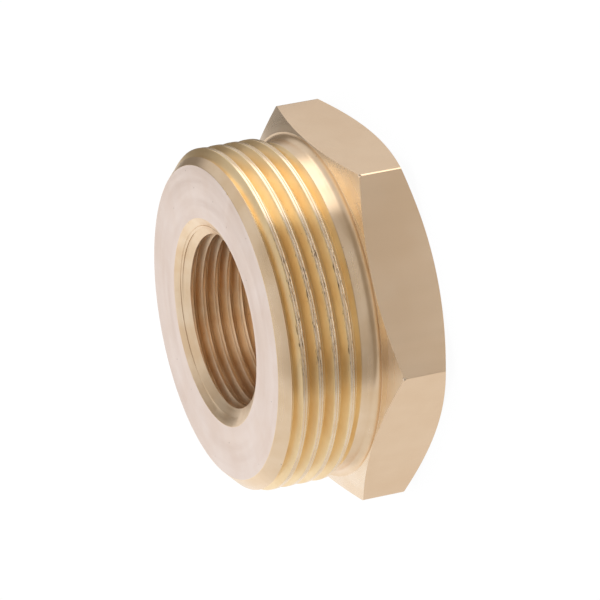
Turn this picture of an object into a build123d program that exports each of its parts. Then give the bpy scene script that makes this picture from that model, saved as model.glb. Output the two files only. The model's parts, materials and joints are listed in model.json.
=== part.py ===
from build123d import *
import math
import os

# A reducing hex bushing, turned and threaded from one length of hexagonal brass bar.
# It stands on its hexagon end: the origin is the centre of that face and +Z runs along the bore,
# towards the male thread. All sizes are in millimetres.

# Both threads are parallel pipe threads of one form: flanks at 27.5 degrees to the radius, and a depth
# that is a fixed share of the pitch.
flank_angle = 27.5
depth_per_pitch = 0.6403

# Male thread, G 1 1/2
male_diameter = 47.8
male_pitch = 2.309
male_length = 11.7           # from the collar to the end face, run-out groove and lead-in included
lead_in_margin = 0.52        # the lead-in chamfer ends this far below the thread's root

# Female thread, G 3/4, drawn at the diameter of its crests
female_bore = 24.117
female_pitch = 1.814
mouth_margin = 1.28          # the countersink opens this far outside the thread's root
mouth_angle = 120            # included angle of both countersinks

# Hexagon
flats_allowance = 0.6        # the bar measures this much more across its flats than the thread
head_thickness = 9.4
face_setback = 0.1           # both turned faces end this far inside the flats
front_chamfer_angle = 21.5
rear_chamfer_angle = 25
edge_radius = 0.2            # softened edges between neighbouring flats

# Plain collar and run-out groove between the hexagon and the male thread
collar_drop = 0.8            # the collar is this much smaller in radius than the thread
collar_length = 2.5
groove_wall_angle = 38       # of the V-shaped groove's wall on the collar's side, measured to the radius

# Male shank, from the sizes above
thread_radius = male_diameter / 2
male_depth = depth_per_pitch * male_pitch
root_radius = thread_radius - male_depth
collar_radius = thread_radius - collar_drop
lead_in = male_depth + lead_in_margin

# Stations along the axis
collar_end = head_thickness + collar_length
groove_bottom = collar_end + (collar_radius - root_radius) * math.tan(math.radians(groove_wall_angle))
thread_start = groove_bottom + male_depth * math.tan(math.radians(flank_angle))
total_length = collar_end + male_length

# Hexagon, from the sizes above
across_flats = male_diameter + flats_allowance
face_radius = across_flats / 2 - face_setback
foot_radius = face_radius - collar_radius    # the collar's foot sweeps out to the edge of the turned face
corner_radius = across_flats / 2 / math.cos(math.pi / 6)
turning_radius = corner_radius + 1    # just outside the corners, where the turned cones may stop
turning_width = turning_radius - face_radius
rear_cone_height = turning_width * math.tan(math.radians(rear_chamfer_angle))
front_cone_height = turning_width * math.tan(math.radians(front_chamfer_angle))

# Bore, from the sizes above
bore_radius = female_bore / 2
mouth_radius = bore_radius + depth_per_pitch * female_pitch + mouth_margin
mouth_depth = (mouth_radius - bore_radius) / math.tan(math.radians(mouth_angle / 2))

with BuildPart() as hex_bushing:
    # A slice of hexagonal bar, two corners on the X axis, its six long edges slightly rounded
    with BuildSketch(Plane.XY) as bar_section:
        RegularPolygon(radius=across_flats / 2, side_count=6, major_radius=False)
    extrude(amount=head_thickness)
    fillet(hex_bushing.edges().filter_by(Axis.Z), radius=edge_radius)

    # Both ends of the hexagon turned conical, which leaves an arc on every flat
    with BuildSketch(Plane.XZ) as turned_head:
        with BuildLine():
            Polyline(
                (0, 0),
                (face_radius, 0),
                (turning_radius, rear_cone_height),
                (turning_radius, head_thickness - front_cone_height),
                (face_radius, head_thickness),
                (0, head_thickness),
                close=True,
            )
        make_face()
    revolve(axis=Axis.Z, mode=Mode.INTERSECT)

    # Shank: collar on its hollow foot, V-shaped run-out groove, thread cylinder and lead-in chamfer
    with BuildSketch(Plane.XZ) as shank_outline:
        with BuildLine():
            foot = CenterArc((face_radius, head_thickness + foot_radius), foot_radius, 180, 90)
            Polyline(
                foot @ 0,
                (collar_radius, collar_end),
                (root_radius, groove_bottom),
                (thread_radius, thread_start),
                (thread_radius, total_length - lead_in),
                (thread_radius - lead_in, total_length),
                (0, total_length),
                (0, head_thickness),
                foot @ 1,
            )
        make_face()
    revolve(axis=Axis.Z)

    # Bore through both ends, with a countersink at each mouth
    with BuildSketch(Plane.XZ) as bore_outline:
        with BuildLine():
            Polyline(
                (0, 0),
                (mouth_radius, 0),
                (bore_radius, mouth_depth),
                (bore_radius, total_length - mouth_depth),
                (mouth_radius, total_length),
                (0, total_length),
                close=True,
            )
        make_face()
    revolve(axis=Axis.Z, mode=Mode.SUBTRACT)

os.makedirs("parts", exist_ok=True)
hex_bushing.part.label = "hex_bushing"
export_step(hex_bushing.part, "parts/hex_bushing.step")

print("overall length", round(total_length, 3))
print("across flats", round(across_flats, 3))
print("across corners", round(2 * corner_radius, 3))
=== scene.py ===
import json
import math

import bmesh
import bpy
from mathutils import Matrix, Vector


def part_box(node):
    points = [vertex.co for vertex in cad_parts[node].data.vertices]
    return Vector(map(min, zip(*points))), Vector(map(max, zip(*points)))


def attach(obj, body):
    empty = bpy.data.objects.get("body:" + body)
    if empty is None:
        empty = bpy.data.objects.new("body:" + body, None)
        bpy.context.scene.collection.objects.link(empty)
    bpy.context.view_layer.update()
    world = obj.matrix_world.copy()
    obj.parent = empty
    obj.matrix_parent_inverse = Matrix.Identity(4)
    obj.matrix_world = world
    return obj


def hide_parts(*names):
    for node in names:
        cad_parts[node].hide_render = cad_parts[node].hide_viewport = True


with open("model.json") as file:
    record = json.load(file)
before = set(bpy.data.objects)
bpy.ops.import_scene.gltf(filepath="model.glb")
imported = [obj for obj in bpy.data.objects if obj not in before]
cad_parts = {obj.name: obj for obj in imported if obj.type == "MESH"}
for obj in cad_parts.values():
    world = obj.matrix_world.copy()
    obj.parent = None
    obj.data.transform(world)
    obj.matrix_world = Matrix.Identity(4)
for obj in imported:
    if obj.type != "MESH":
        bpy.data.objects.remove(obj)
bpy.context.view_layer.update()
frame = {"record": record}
print("frame loaded")

# The bushing is modelled in millimetres and brought to metres at the end.
mm = 0.001
mounts = {mount["name"]: mount for mount in frame["record"]["mounts"]}
boxLow, boxHigh = (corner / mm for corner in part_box("hex_bushing"))

# Direction of the photo's camera round the bore, in degrees; threads and marks are placed from it.
viewAzimuth = -94.18

bushing = {
    "length": boxHigh.z - boxLow.z,
    "acrossFlats": boxHigh.y - boxLow.y,
    "crestRadius": mounts["male_thread"]["dims"]["r_mm"],
    "boreRadius": mounts["female_thread"]["dims"]["r_mm"],
    "headThickness": 9.4,
    "faceSetback": 0.1,          # the turned faces end this far inside the flats
    "frontChamfer": 21.5,        # degrees, on the hexagon's corners
    "rearChamfer": 25,
    "cornerRadius": 0.45,        # softened edges between flats
    "collarDrop": 0.8,           # the collar is this much under the thread's crests
    "collarLength": 2.5,
    "grooveWall": 38,            # degrees to the radius, from the collar down into the run-out groove
    "leadIn": 2.0,               # 45 degree lead-in on the male end
    "mouthRadius": 14.5,         # countersinks at both ends of the bore
    "mouthAngle": 120,
    "edgeBreak": 0.07,           # what a file leaves on the sharp turned edges
    "footStart": 12,             # degrees of the collar's round foot that the lip takes
    "footSteps": 12,
    "lip": 0.022,                # small ridge where the cuts of the foot and the chamfer meet
    "segments": 240,
}

# Each thread is cut by a helical tool; station is the height of its middle at this angle from the camera.
maleThread = {
    "pitch": 2.309, "crest": bushing["crestRadius"], "depth": 1.44, "flank": 27.5, "rootFlat": 0.12,
    "frontRound": 0.16, "rearRound": 0.08, "angle": 0, "station": 21.87, "low": 12.0, "high": 26,
    "inside": False, "seamPlace": 0.27, "seamWidth": 0.13, "seamDepth": 0.05,
}
femaleThread = {
    "pitch": 1.814, "crest": bushing["boreRadius"], "depth": 1.16, "flank": 27.5, "rootFlat": 0.16,
    "frontRound": 0.06, "rearRound": 0.06, "angle": 150, "station": 21.05, "low": -1.2, "high": 24.9,
    "inside": True,
}

# A ring that the countersink's tool left, a little off centre, so it fades out on the other side
toolRing = {"radius": 13.34, "width": 0.24, "depth": 0.13, "shift": 0.16, "towards": 158}

# Dents from handling, as (degrees from the camera, radius, height, size)
nicks = [
    (-25.8, 27.95, 7.85, 0.34), (34.2, 27.95, 7.85, 0.3), (52.5, 21.95, 23.62, 0.16),
    (49.5, 21.9, 23.62, 0.2), (47.8, 21.93, 23.62, 0.13), (-34, 23.5, 22.0, 0.2),
    (-36, 23.4, 22.1, 0.14), (12, 23.95, 21.3, 0.16),
]

# Burrs that the chamfer's cut left: each flat's direction from the camera, then every burr on it as its
# distance from the flat's middle and its size
burrs = {
    "lowerFlat": (-55.82, [(12.7, 0.05), (12.0, 0.08), (11.3, 0.06), (10.4, 0.09), (9.7, 0.05), (8.6, 0.07),
                           (7.2, 0.06), (3.4, 0.07), (-2.5, 0.05)]),
    "upperFlat": (64.18, [(-12.6, 0.09), (-12.0, 0.06)]),
}


def toObject(bm, name):
    bmesh.ops.recalc_face_normals(bm, faces=bm.faces)
    mesh = bpy.data.meshes.new(name)
    bm.to_mesh(mesh)
    bm.free()
    piece = bpy.data.objects.new(name, mesh)
    bpy.context.scene.collection.objects.link(piece)
    return piece


def closedOutline(corners):
    # A closed line in the XZ plane from (radius, height, rounding) corners
    bm = bmesh.new()
    made = [bm.verts.new((radius, 0, height)) for radius, height, rounding in corners]
    bm.faces.new(made)
    for size in sorted({rounding for radius, height, rounding in corners} - {0}):
        chosen = [vert for vert, corner in zip(made, corners) if corner[2] == size]
        bmesh.ops.bevel(bm, geom=chosen, offset=size, affect="VERTICES", segments=4, profile=0.5, material=-1,
                        offset_type="OFFSET", clamp_overlap=True)
    bmesh.ops.delete(bm, geom=list(bm.faces), context="FACES_ONLY")
    return bm


def turned(bm, segments):
    # An outline spun once round the bore
    bmesh.ops.spin(bm, geom=list(bm.verts) + list(bm.edges), cent=(0, 0, 0), axis=(0, 0, 1), dvec=(0, 0, 0),
                   angle=math.tau, steps=segments, use_merge=True, use_duplicate=False)
    bmesh.ops.remove_doubles(bm, verts=bm.verts, dist=1e-4)


def turnedBlank(size):
    # The bar turned and bored, before its flats and threads
    flat = size["acrossFlats"] / 2
    face = flat - size["faceSetback"]
    outer = flat / math.cos(math.pi / 6) + 1
    rearRise = (outer - face) * math.tan(math.radians(size["rearChamfer"]))
    frontRise = (outer - face) * math.tan(math.radians(size["frontChamfer"]))
    head, length, crest = size["headThickness"], size["length"], size["crestRadius"]
    collar, root = crest - size["collarDrop"], crest - maleThread["depth"]
    foot = face - collar
    collarEnd = head + size["collarLength"]
    grooveStart = collarEnd + (collar - root) * math.tan(math.radians(size["grooveWall"]))
    threadStart = grooveStart + maleThread["depth"] * math.tan(math.radians(maleThread["flank"]))
    bore, mouth = size["boreRadius"], size["mouthRadius"]
    mouthDepth = (mouth - bore) / math.tan(math.radians(size["mouthAngle"] / 2))
    start, steps = size["footStart"], size["footSteps"]
    sweep = [math.radians(start + (90 - start) * step / steps) for step in range(steps + 1)]
    soft, lip = size["edgeBreak"], size["lip"]
    # Radius, height and rounding of each corner; the collar's hollow foot is a quarter of a circle.
    corners = [
        (bore, mouthDepth, 0), (mouth, 0, soft), (face, 0, soft), (outer, rearRise, 0),
        (outer, head - frontRise, 0), (face + 1.3 * lip, head - lip / 2, 0),
        (face + lip / 3, head + lip, 0.02),
        *[(face - foot * math.sin(turn), head + foot - foot * math.cos(turn), 0) for turn in sweep],
        (collar, collarEnd, soft), (root, grooveStart, 0), (crest, threadStart, 0),
        (crest, length - size["leadIn"], 0), (crest - size["leadIn"], length, soft), (mouth, length, soft),
        (bore, length - mouthDepth, 0),
    ]
    bm = closedOutline(corners)
    turned(bm, size["segments"])
    return toObject(bm, "blank")


def hexBar(size):
    # The hexagonal bar, with two corners on the X axis
    radius = size["acrossFlats"] / 2 / math.cos(math.pi / 6)
    bm = bmesh.new()
    bmesh.ops.create_cone(bm, cap_ends=True, segments=6, radius1=radius, radius2=radius,
                          depth=size["length"] + 4)
    bmesh.ops.translate(bm, verts=bm.verts, vec=(0, 0, size["length"] / 2))
    if max(v.co.x for v in bm.verts) < radius - 0.1:
        bmesh.ops.rotate(bm, verts=bm.verts, cent=(0, 0, 0), matrix=Matrix.Rotation(math.pi / 6, 3, "Z"))
    upright = [e for e in bm.edges if abs(e.verts[0].co.z - e.verts[1].co.z) > 1]
    bmesh.ops.bevel(bm, geom=upright, offset=size["cornerRadius"] * math.tan(math.pi / 6), affect="EDGES",
                    segments=4, profile=0.5, material=-1)
    return toObject(bm, "bar")


def grooveSection(cut):
    # Sloping walls that roll over into the crest, as (radius, height, rounding) corners
    side = 1 if cut["inside"] else -1
    slope = math.tan(math.radians(cut["flank"]))
    half, crest = cut["rootFlat"] / 2, cut["crest"]
    root, edge = crest + side * cut["depth"], half + cut["depth"] * slope
    turn = math.radians(90 - cut["flank"])
    angles = [turn * step / 4 for step in range(4, 0, -1)]
    shoulders = {}
    for end, rounding in ((-1, cut["frontRound"]), (1, cut["rearRound"])):
        middle = edge + rounding * math.tan(turn / 2)
        arc = [(crest + side * rounding * (1 - math.cos(a)), end * (middle - rounding * math.sin(a)), 0)
               for a in angles]
        out = middle + 0.02
        shoulders[end] = arc + [(crest - side * 0.006, end * out, 0), (crest - side * 0.45, end * out, 0)]
    return [(root, -half, 0.05), *shoulders[-1], *reversed(shoulders[1]), (root, half, 0.05)]


def seamSection(cut):
    # A shallow seam that leaves a lip along the rear of each crest
    crest, half = cut["crest"], cut["seamWidth"] / 2
    edge = cut["rootFlat"] / 2 + cut["depth"] * math.tan(math.radians(cut["flank"]))
    height = edge + cut["seamPlace"]
    return [
        (crest - cut["seamDepth"], height, 0), (crest + 0.01, height - half, 0),
        (crest + 0.3, height - half, 0), (crest + 0.3, height + half, 0), (crest + 0.01, height + half, 0),
    ]


def threadTool(cut, section, size):
    # A section swept along the thread's helix
    bm = closedOutline(section)
    # One turn is swept, starting on a division of the blank, so that both have edges at the same angles.
    step = 360 / size["segments"]
    start = (cut["low"] - cut["station"]) / cut["pitch"] * 360 + cut["angle"] + viewAzimuth
    start = math.floor(start / step) * step
    low = cut["station"] + (start - cut["angle"] - viewAzimuth) / 360 * cut["pitch"]
    spun = Matrix.Rotation(math.radians(start), 3, "Z")
    bmesh.ops.rotate(bm, verts=bm.verts, cent=(0, 0, 0), matrix=spun)
    bmesh.ops.translate(bm, verts=bm.verts, vec=(0, 0, low))
    bmesh.ops.spin(bm, geom=list(bm.edges) + list(bm.verts), cent=(0, 0, 0), axis=(0, 0, 1),
                   dvec=(0, 0, cut["pitch"] / size["segments"]), angle=math.tau, steps=size["segments"],
                   use_merge=False, use_duplicate=False)
    # Further turns are copies of the first, one pitch apart.
    turn = list(bm.verts) + list(bm.edges) + list(bm.faces)
    for count in range(1, math.ceil((cut["high"] - low) / cut["pitch"])):
        copy = bmesh.ops.duplicate(bm, geom=turn)["geom"]
        copied = [v for v in copy if isinstance(v, bmesh.types.BMVert)]
        bmesh.ops.translate(bm, verts=copied, vec=(0, 0, count * cut["pitch"]))
    bmesh.ops.remove_doubles(bm, verts=bm.verts, dist=1e-3)
    bmesh.ops.holes_fill(bm, edges=[e for e in bm.edges if e.is_boundary])
    return toObject(bm, "threadTool")


def ringTool(ring, size):
    # A thin ring of square section on its corner, which cuts into the countersink of the male end
    slope = math.tan(math.radians(size["mouthAngle"] / 2))
    turn = math.radians(viewAzimuth + ring["towards"])
    radius, half = ring["radius"], ring["width"] / 2
    low = size["length"] - (size["mouthRadius"] - radius - ring["shift"]) / slope - ring["depth"]
    bm = closedOutline([(radius, low, 0), (radius + half, low + half, 0), (radius, low + 2 * half, 0),
                        (radius - half, low + half, 0)])
    turned(bm, size["segments"])
    shift = Vector((math.cos(turn), math.sin(turn), 0)) * ring["shift"]
    bmesh.ops.translate(bm, verts=bm.verts, vec=shift)
    return toObject(bm, "ringTool")


def roundSpot(bm, angle, radius, height, size):
    turn = math.radians(viewAzimuth + angle)
    place = Vector((radius * math.cos(turn), radius * math.sin(turn), height))
    bmesh.ops.create_icosphere(bm, subdivisions=2, radius=size, matrix=Matrix.Translation(place))


def nickTool(spots):
    bm = bmesh.new()
    for angle, radius, height, size in spots:
        roundSpot(bm, angle, radius, height, size)
    return toObject(bm, "nickTool")


def burrShape(rows, size):
    # Burrs stand where the head's front cone meets a flat.
    bm = bmesh.new()
    flat = size["acrossFlats"] / 2
    for direction, places in rows.values():
        for offset, thick in places:
            radius = math.hypot(flat, offset)
            drop = (radius - flat + size["faceSetback"]) * math.tan(math.radians(size["frontChamfer"]))
            angle = direction + math.degrees(math.atan2(offset, flat))
            sunk = 0.3 * thick
            roundSpot(bm, angle, radius - sunk, size["headThickness"] - drop - sunk, thick)
    return toObject(bm, "burrs")


def cutWith(piece, kind, tool):
    # A boolean applied to the mesh; the tool is removed.
    modifier = piece.modifiers.new(kind, "BOOLEAN")
    modifier.operation = kind
    modifier.object = tool
    modifier.solver = "MANIFOLD"
    done = bpy.data.meshes.new_from_object(piece.evaluated_get(bpy.context.evaluated_depsgraph_get()))
    piece.modifiers.clear()
    piece.data = done
    bpy.data.objects.remove(tool)


def makeBushing(size):
    piece = turnedBlank(size)
    cutWith(piece, "INTERSECT", hexBar(size))
    print("hexagon cut")
    cutWith(piece, "DIFFERENCE", threadTool(maleThread, grooveSection(maleThread), size))
    cutWith(piece, "DIFFERENCE", threadTool(maleThread, seamSection(maleThread), size))
    print("male thread cut")
    cutWith(piece, "DIFFERENCE", threadTool(femaleThread, grooveSection(femaleThread), size))
    print("female thread cut")
    cutWith(piece, "DIFFERENCE", ringTool(toolRing, size))
    cutWith(piece, "DIFFERENCE", nickTool(nicks))
    cutWith(piece, "UNION", burrShape(burrs, size))
    print("marks made")
    bm = bmesh.new()
    bm.from_mesh(piece.data)
    bmesh.ops.remove_doubles(bm, verts=bm.verts, dist=1e-3)
    bmesh.ops.dissolve_degenerate(bm, edges=bm.edges, dist=1e-4)
    bmesh.ops.scale(bm, verts=bm.verts, vec=(mm, mm, mm))
    for f in bm.faces:
        f.smooth = True
    bm.to_mesh(piece.data)
    bm.free()
    piece.data.set_sharp_from_angle(angle=math.radians(24))
    piece.name = piece.data.name = "brass_bushing"
    return piece


piece = makeBushing(bushing)
print("bushing", len(piece.data.vertices), "vertices", len(piece.data.polygons), "faces")
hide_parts("hex_bushing")
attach(piece, "root")


def linear(hexColour):
    # sRGB hex to linear light
    parts = [int(hexColour[i:i + 2], 16) / 255 for i in (0, 2, 4)]
    return [c / 12.92 if c <= 0.04045 else ((c + 0.055) / 1.055) ** 2.4 for c in parts] + [1]


def addNode(tree, kind, settings, links=()):
    # One node with its settings and its incoming links: (socket, node, output).
    node = tree.nodes.new(kind)
    for name, value in settings.items():
        if isinstance(name, str) and hasattr(node, name):
            setattr(node, name, value)
        else:
            node.inputs[name].default_value = value
    for socket, other, output in links:
        tree.links.new(other.outputs[output], node.inputs[socket])
    return node


# All of it is free-machining brass, in the finishes that its tools left. Sizes are in millimetres: lines is
# the spacing of the tool's marks, depth their height, run how far each goes on, and patch the size of soft
# colour changes. The real marks are 0.1 to 0.2 mm apart, about one point of the picture, so they are drawn
# coarser.
surfaces = {
    # Faced across the end: satin, with faint rings where the tool slowed down; its brass colour is made pale
    # and pinkish as painted light, in place of a cool light falling on the end face
    "facedBrass": {
        "colour": "E9D8CE", "shade": "E4D0C3", "patch": 6, "roughness": 0.38, "spread": 0.06, "stretch": 0.2,
        "lines": 1.1, "depth": 0.004, "run": 16, "drawn": False, "torn": 0, "pits": 0.55,
    },
    # Turned collar and lead-in: bright, with fine rings that stretch each reflection
    "turnedBrass": {
        "colour": "F3D9BA", "shade": "EACDA9", "patch": 5, "roughness": 0.3, "spread": 0.05, "stretch": 0.8,
        "lines": 0.5, "depth": 0.0012, "run": 20, "drawn": False, "torn": 0, "pits": 0.5,
    },
    # Chamfers turned on the bar's corners: bright, and peach where they mirror the collar
    "chamferBrass": {
        "colour": "F4E0C8", "shade": "EFD6B8", "patch": 5, "roughness": 0.28, "spread": 0.04, "stretch": 0.8,
        "lines": 0.9, "depth": 0.0016, "run": 26, "drawn": False, "torn": 0, "pits": 0.4,
    },
    # Flanks cut by the die: smooth, and deep gold from mirroring each other
    "dieCutBrass": {
        "colour": "FAE1B5", "shade": "F3D5A4", "patch": 6, "roughness": 0.34, "spread": 0.05, "stretch": 0.8,
        "lines": 0.4, "depth": 0.0008, "run": 24, "drawn": False, "torn": 0.012, "pits": 0.3,
    },
    # Crests that the die tore on one side and left smooth on the rest: ragged bright and dark streaks,
    # the dark partly painted shade in the tears' hollows
    "tornBrass": {
        "colour": "F4DDC1", "shade": "E9CDAC", "patch": 4, "roughness": 0.27, "spread": 0.06, "stretch": 0.6,
        "lines": 0.25, "depth": 0.002, "run": 6, "drawn": False, "torn": 0.017, "pits": 0.3,
    },
    # Flats of the drawn bar, left as they came: smooth, with faint lines along the bar
    "drawnBrass": {
        "colour": "F0D2B1", "shade": "EBCBA8", "patch": 9, "roughness": 0.22, "spread": 0.015, "stretch": 0,
        "lines": 1.4, "depth": 0.00015, "run": 30, "drawn": True, "torn": 0, "pits": 0,
    },
    # Thread and countersinks cut by a tap and a countersink: satin, soft brown in the grooves
    "tappedBrass": {
        "colour": "F2DABC", "shade": "E8CAA6", "patch": 4, "roughness": 0.33, "spread": 0.05, "stretch": 0.7,
        "lines": 0.4, "depth": 0.0012, "run": 12, "drawn": False, "torn": 0, "pits": 0.3,
    },
}

# The side where the die tore the crests, in degrees round the bore, how long and wide one tear is, how far
# down the flank it reaches, and the dark colour of the painted shade in the tears' hollows
tearing = {
    "middle": viewAzimuth + 1, "halfWidth": 21, "fade": 6, "elsewhere": 0.06, "reach": 0.3, "long": 1.2,
    "wide": 0.14, "climb": 0.03, "hollowShade": "755A3C",
}
# Small dark pits, one to each cell at most
pits = {"cell": 2.4, "size": 0.13, "colour": "6E5844"}


def toolMarks(tree, finish, point, radius, heading):
    # Noise drawn out along the tool's path: rings on turned surfaces, lines along the bar on its flats
    fine, long = 1 / finish["lines"], 1 / finish["run"]
    if finish["drawn"]:
        lined = addNode(tree, "ShaderNodeVectorMath", {"operation": "MULTIPLY", 1: (fine, fine, long)},
                        [(0, point, "Vector")])
    else:
        # Height and radius together, so that faces, cones and cylinders all get rings
        height = addNode(tree, "ShaderNodeVectorMath", {"operation": "DOT_PRODUCT", 1: (0, 0, 0.6 * fine)},
                         [(0, point, "Vector")])
        rings = addNode(tree, "ShaderNodeMath", {"operation": "MULTIPLY_ADD", 1: fine},
                        [(0, radius, "Value"), (2, height, "Value")])
        upright = addNode(tree, "ShaderNodeCombineXYZ", {}, [("Z", rings, "Value")])
        slow = bushing["crestRadius"] * long
        lined = addNode(tree, "ShaderNodeVectorMath", {"operation": "MULTIPLY_ADD", 1: (slow, slow, slow)},
                        [(0, heading, "Vector"), (2, upright, "Vector")])
    return addNode(tree, "ShaderNodeTexNoise", {"Scale": 1, "Detail": 2, "Roughness": 0.5},
                   [("Vector", lined, "Vector")])


def tornShare(tree, radius, heading):
    # How torn the metal is: 1 on the crests of one side, fading down the flanks and round the bushing
    turn = math.radians(tearing["middle"])
    widest, narrowest = (
        math.cos(math.radians(tearing["halfWidth"] + way * tearing["fade"])) for way in (1, -1)
    )
    facing = addNode(tree, "ShaderNodeVectorMath", {
        "operation": "DOT_PRODUCT", 1: (math.cos(turn), math.sin(turn), 0),
    }, [(0, heading, "Vector")])
    side = addNode(tree, "ShaderNodeMapRange", {
        "From Min": widest, "From Max": narrowest, "To Min": tearing["elsewhere"],
    }, [("Value", facing, "Value")])
    edge = addNode(tree, "ShaderNodeMapRange", {
        "From Min": bushing["crestRadius"] - tearing["reach"], "From Max": bushing["crestRadius"] - 0.05,
    }, [("Value", radius, "Value")])
    return addNode(tree, "ShaderNodeMath", {"operation": "MULTIPLY"},
                   [(0, side, "Result"), (1, edge, "Result")])


def tearStreaks(tree, point, heading):
    # Streaks that follow the helix on the torn side
    turn = math.radians(tearing["middle"])
    along, over = bushing["crestRadius"] / tearing["long"], 1 / tearing["wide"]
    lean = over * tearing["climb"]
    rise = addNode(tree, "ShaderNodeVectorMath", {
        "operation": "DOT_PRODUCT", 1: (lean * math.sin(turn), -lean * math.cos(turn), over),
    }, [(0, point, "Vector")])
    level = addNode(tree, "ShaderNodeCombineXYZ", {}, [("Z", rise, "Value")])
    grain = addNode(tree, "ShaderNodeVectorMath", {"operation": "MULTIPLY_ADD", 1: (along, along, along)},
                    [(0, heading, "Vector"), (2, level, "Vector")])
    return addNode(tree, "ShaderNodeTexNoise", {
        "Scale": 1, "Detail": 3, "Roughness": 0.6, "Distortion": 0.3,
    }, [("Vector", grain, "Vector")])


def brassSurface(name, finish):
    material = bpy.data.materials.new(name)
    material.use_nodes = True
    tree = material.node_tree
    tree.nodes.clear()
    place = addNode(tree, "ShaderNodeTexCoord", {})
    point = addNode(tree, "ShaderNodeVectorMath", {"operation": "SCALE", "Scale": 1 / mm},
                    [(0, place, "Object")])
    outward = addNode(tree, "ShaderNodeVectorMath", {"operation": "MULTIPLY", 1: (1, 1, 0)},
                      [(0, point, "Vector")])
    radius = addNode(tree, "ShaderNodeVectorMath", {"operation": "LENGTH"}, [(0, outward, "Vector")])
    heading = addNode(tree, "ShaderNodeVectorMath", {"operation": "NORMALIZE"}, [(0, outward, "Vector")])
    around = addNode(tree, "ShaderNodeVectorMath", {"operation": "CROSS_PRODUCT", 0: (0, 0, 1)},
                     [(1, point, "Vector")])
    marks = toolMarks(tree, finish, point, radius, heading)
    bump = addNode(tree, "ShaderNodeBump", {"Strength": 1, "Distance": 4 * finish["depth"] * mm},
                   [("Height", marks, "Fac")])
    gloss = addNode(tree, "ShaderNodeMapRange", {
        "From Min": 0.3, "From Max": 0.7, "To Min": finish["roughness"] - finish["spread"],
        "To Max": finish["roughness"] + finish["spread"],
    }, [("Value", marks, "Fac")])
    patches = addNode(tree, "ShaderNodeTexNoise", {
        "Scale": 1 / finish["patch"], "Detail": 3, "Roughness": 0.55,
    }, [("Vector", point, "Vector")])
    share = addNode(tree, "ShaderNodeMapRange", {"From Min": 0.35, "From Max": 0.65},
                    [("Value", patches, "Fac")])
    colour = addNode(tree, "ShaderNodeMix", {
        "data_type": "RGBA", 6: linear(finish["colour"]), 7: linear(finish["shade"]),
    }, [(0, share, "Result")])
    if finish["torn"]:
        torn = tornShare(tree, radius, heading)
        tears = tearStreaks(tree, point, heading)
        bump = addNode(tree, "ShaderNodeBump", {"Distance": 4 * finish["torn"] * mm},
                       [("Strength", torn, "Value"), ("Height", tears, "Fac"), ("Normal", bump, "Normal")])
        # Painted shade: the hollows of the tears are darkened, on the torn side only
        hollow = addNode(tree, "ShaderNodeMapRange", {"From Min": 0.45, "From Max": 0.35},
                         [("Value", tears, "Fac")])
        paintedShade = addNode(tree, "ShaderNodeMath", {"operation": "MULTIPLY"},
                       [(0, hollow, "Result"), (1, torn, "Value")])
        colour = addNode(tree, "ShaderNodeMix", {"data_type": "RGBA", 7: linear(tearing["hollowShade"])},
                         [(0, paintedShade, "Value"), (6, colour, 2)])
    if finish["pits"]:
        cells = addNode(tree, "ShaderNodeTexVoronoi", {"Scale": 1 / pits["cell"]},
                        [("Vector", point, "Vector")])
        size = pits["size"] / pits["cell"]
        dots = addNode(tree, "ShaderNodeMapRange", {
            "From Min": size, "From Max": size / 2, "To Max": finish["pits"],
        }, [("Value", cells, "Distance")])
        colour = addNode(tree, "ShaderNodeMix", {"data_type": "RGBA", 7: linear(pits["colour"])},
                         [(0, dots, "Result"), (6, colour, 2)])
    shader = addNode(tree, "ShaderNodeBsdfPrincipled", {
        "Metallic": 1, "Anisotropic": finish["stretch"], "Anisotropic Rotation": 0.25,
    }, [("Base Color", colour, 2), ("Roughness", gloss, "Result"), ("Normal", bump, "Normal"),
        ("Tangent", around, "Vector")])
    addNode(tree, "ShaderNodeOutputMaterial", {}, [("Surface", shader, "BSDF")])
    return material


def surfaceOf(face, size):
    # Which tool left this face
    centre, normal = face.center / mm, face.normal
    radius = centre.xy.length
    threadFrom = size["headThickness"] + size["collarLength"]
    leadFrom = size["length"] - size["leadIn"]
    onLeadIn = abs(size["crestRadius"] - radius - (centre.z - leadFrom)) < 0.015
    if radius < size["mouthRadius"] + 0.05:
        return "tappedBrass"
    if abs(normal.z) > 0.98 and (centre.z > size["length"] - 0.1 or centre.z < 0.1):
        return "facedBrass"
    if radius > size["crestRadius"] + 0.1 or centre.z < size["headThickness"] + 0.01:
        return "drawnBrass" if abs(normal.z) < 0.1 else "chamferBrass"
    if centre.z < threadFrom + 0.02 or onLeadIn:
        return "turnedBrass"
    if radius > size["crestRadius"] - 0.04 and abs(normal.z) < 0.1:
        return "tornBrass"
    return "dieCutBrass"


def finishPiece(piece, size):
    names = list(surfaces)
    piece.data.materials.clear()
    for name in names:
        piece.data.materials.append(brassSurface(name, surfaces[name]))
    for face in piece.data.polygons:
        face.material_index = names.index(surfaceOf(face, size))


finishPiece(piece, bushing)
print("materials done")

# Camera at the photo's viewing angle; the bushing stands, so the picture is rolled.
cameraPlace = {
    "azimuth": viewAzimuth, "elevation": 21.141, "roll": 100.861, "aim": (1.077, 2.900, 9.526),
    "distance": 708.77, "lens": 307.64,
}


def placeCamera(place):
    azimuth, elevation = math.radians(place["azimuth"]), math.radians(place["elevation"])
    level = math.cos(elevation)
    back = Vector((level * math.cos(azimuth), level * math.sin(azimuth), math.sin(elevation)))
    data = bpy.data.cameras.new("camera")
    data.lens, data.sensor_width = place["lens"], 36
    data.clip_start, data.clip_end = 0.01, 50
    camera = bpy.data.objects.new("camera", data)
    camera.location = (Vector(place["aim"]) + back * place["distance"]) * mm
    turn = (-back).to_track_quat("-Z", "Y").to_matrix().to_4x4()
    turn = turn @ Matrix.Rotation(math.radians(-place["roll"]), 4, "Z")
    camera.rotation_euler = turn.to_euler()
    bpy.context.scene.collection.objects.link(camera)
    bpy.context.scene.camera = camera


placeCamera(cameraPlace)

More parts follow.
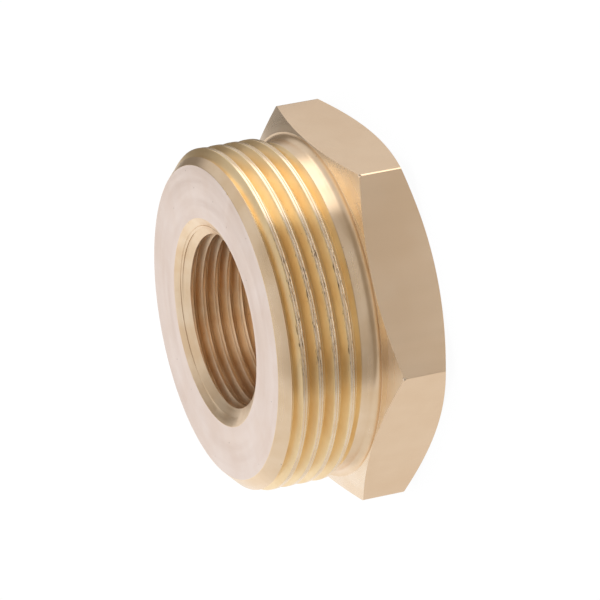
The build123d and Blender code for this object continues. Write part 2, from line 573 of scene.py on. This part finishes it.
# A light tent: a closed dome of soft white cloth round the bushing, with a box light on the right, a lit
# table in front, a dim gap that the camera looks through and a dark corner behind. Each panel has its degrees
# round the bore from the camera, its degrees up from the floor, its brightness and its tint.
white, warm = "FFFFFF", "FFF0DC"
tent = {
    "radius": 300, "height": 12, "divisions": 180, "glow": 0.02, "softEdge": 8,
    "panels": {
        "boxLight": (60, 110, -40, 0, 1.9, white),
        "frontTable": (-40, 60, -50, -30, 1.6, white),
        "frontCloth": (-60, 60, -30, -5, 0.5, white),
        "cameraGap": (-60, 60, -5, 60, 0.3, warm),
        "leftWall": (-140, -60, -60, 60, 0.8, white),
        "rightWall": (60, 140, 0, 60, 0.7, white),
        "rightEnd": (110, 140, -40, 0, 0.7, white),
        "darkCorner": (140, 165, -60, 60, 0.2, warm),
        "back": (165, 220, -60, 60, 1, white),
        "roof": (-190, 190, 60, 100, 0.8, white),
        "floorCloth": (-190, 190, -100, -60, 1, warm),
    },
}


def window(value, low, high, soft):
    # 1 between low and high, 0 outside, with soft edges
    rise = min(max((value - low) / soft + 0.5, 0), 1)
    fall = min(max((high - value) / soft + 0.5, 0), 1)
    return rise * rise * (3 - 2 * rise) * fall * fall * (3 - 2 * fall)


def tentLight(direction):
    # Light that comes from one direction of the tent
    up = math.degrees(math.asin(max(-1, min(1, direction.z))))
    around = math.degrees(math.atan2(direction.y, direction.x)) - viewAzimuth
    soft = tent["softEdge"]
    light = Vector((1, 1, 1)) * tent["glow"]
    for left, right, low, high, brightness, tint in tent["panels"].values():
        middle, half = (left + right) / 2, (right - left) / 2
        away = abs((around - middle + 180) % 360 - 180)
        share = window(away, -2 * soft, half, soft) * window(up, low, high, soft)
        light += Vector(linear(tint)[:3]) * brightness * share
    return light


def makeTent():
    bm = bmesh.new()
    bmesh.ops.create_uvsphere(bm, u_segments=tent["divisions"], v_segments=tent["divisions"] // 2,
                              radius=tent["radius"])
    layer = bm.verts.layers.float_color.new("tentLight")
    for v in bm.verts:
        v[layer] = (*tentLight(v.co.normalized()), 1)
    bmesh.ops.reverse_faces(bm, faces=bm.faces)
    bmesh.ops.translate(bm, verts=bm.verts, vec=(0, 0, tent["height"]))
    bmesh.ops.scale(bm, verts=bm.verts, vec=(mm, mm, mm))
    mesh = bpy.data.meshes.new("lightTent")
    bm.to_mesh(mesh)
    bm.free()
    dome = bpy.data.objects.new("lightTent", mesh)
    bpy.context.scene.collection.objects.link(dome)
    material = bpy.data.materials.new("tentCloth")
    material.use_nodes = True
    tree = material.node_tree
    tree.nodes.clear()
    light = addNode(tree, "ShaderNodeAttribute", {"attribute_name": "tentLight"})
    glow = addNode(tree, "ShaderNodeEmission", {"Strength": 1}, [("Color", light, "Color")])
    addNode(tree, "ShaderNodeOutputMaterial", {}, [("Surface", glow, "Emission")])
    mesh.materials.append(material)
    dome.visible_camera = False
    dome.visible_shadow = False


makeTent()

# Plain white floor, which only the camera sees, with a faint painted shadow where the bushing stands on it
paperFloor = {"size": 12, "white": 1.02, "paintedContactShadow": 0.96, "reach": 0.01}


def makeFloor(floor):
    bm = bmesh.new()
    bmesh.ops.create_grid(bm, x_segments=1, y_segments=1, size=floor["size"] / 2)
    mesh = bpy.data.meshes.new("floor")
    bm.to_mesh(mesh)
    bm.free()
    ground = bpy.data.objects.new("floor", mesh)
    bpy.context.scene.collection.objects.link(ground)
    material = bpy.data.materials.new("whitePaper")
    material.use_nodes = True
    tree = material.node_tree
    tree.nodes.clear()
    # Painted shadow: ambient occlusion darkens the floor's glow next to the bushing
    near = addNode(tree, "ShaderNodeAmbientOcclusion", {"Distance": floor["reach"]})
    shade = addNode(tree, "ShaderNodeMapRange", {"To Min": floor["paintedContactShadow"], "To Max": floor["white"]},
                    [("Value", near, "AO")])
    light = addNode(tree, "ShaderNodeEmission", {"Color": (1, 1, 1, 1)}, [("Strength", shade, "Result")])
    addNode(tree, "ShaderNodeOutputMaterial", {}, [("Surface", light, "Emission")])
    mesh.materials.append(material)
    ground.visible_glossy = ground.visible_diffuse = ground.visible_shadow = False


makeFloor(paperFloor)


def whiteWorld(strength):
    world = bpy.data.worlds.new("studio")
    world.use_nodes = True
    background = world.node_tree.nodes["Background"]
    background.inputs["Color"].default_value = (1, 1, 1, 1)
    background.inputs["Strength"].default_value = strength
    bpy.context.scene.world = world


whiteWorld(paperFloor["white"])
bpy.context.scene.view_settings.view_transform = "Standard"
print("studio done")
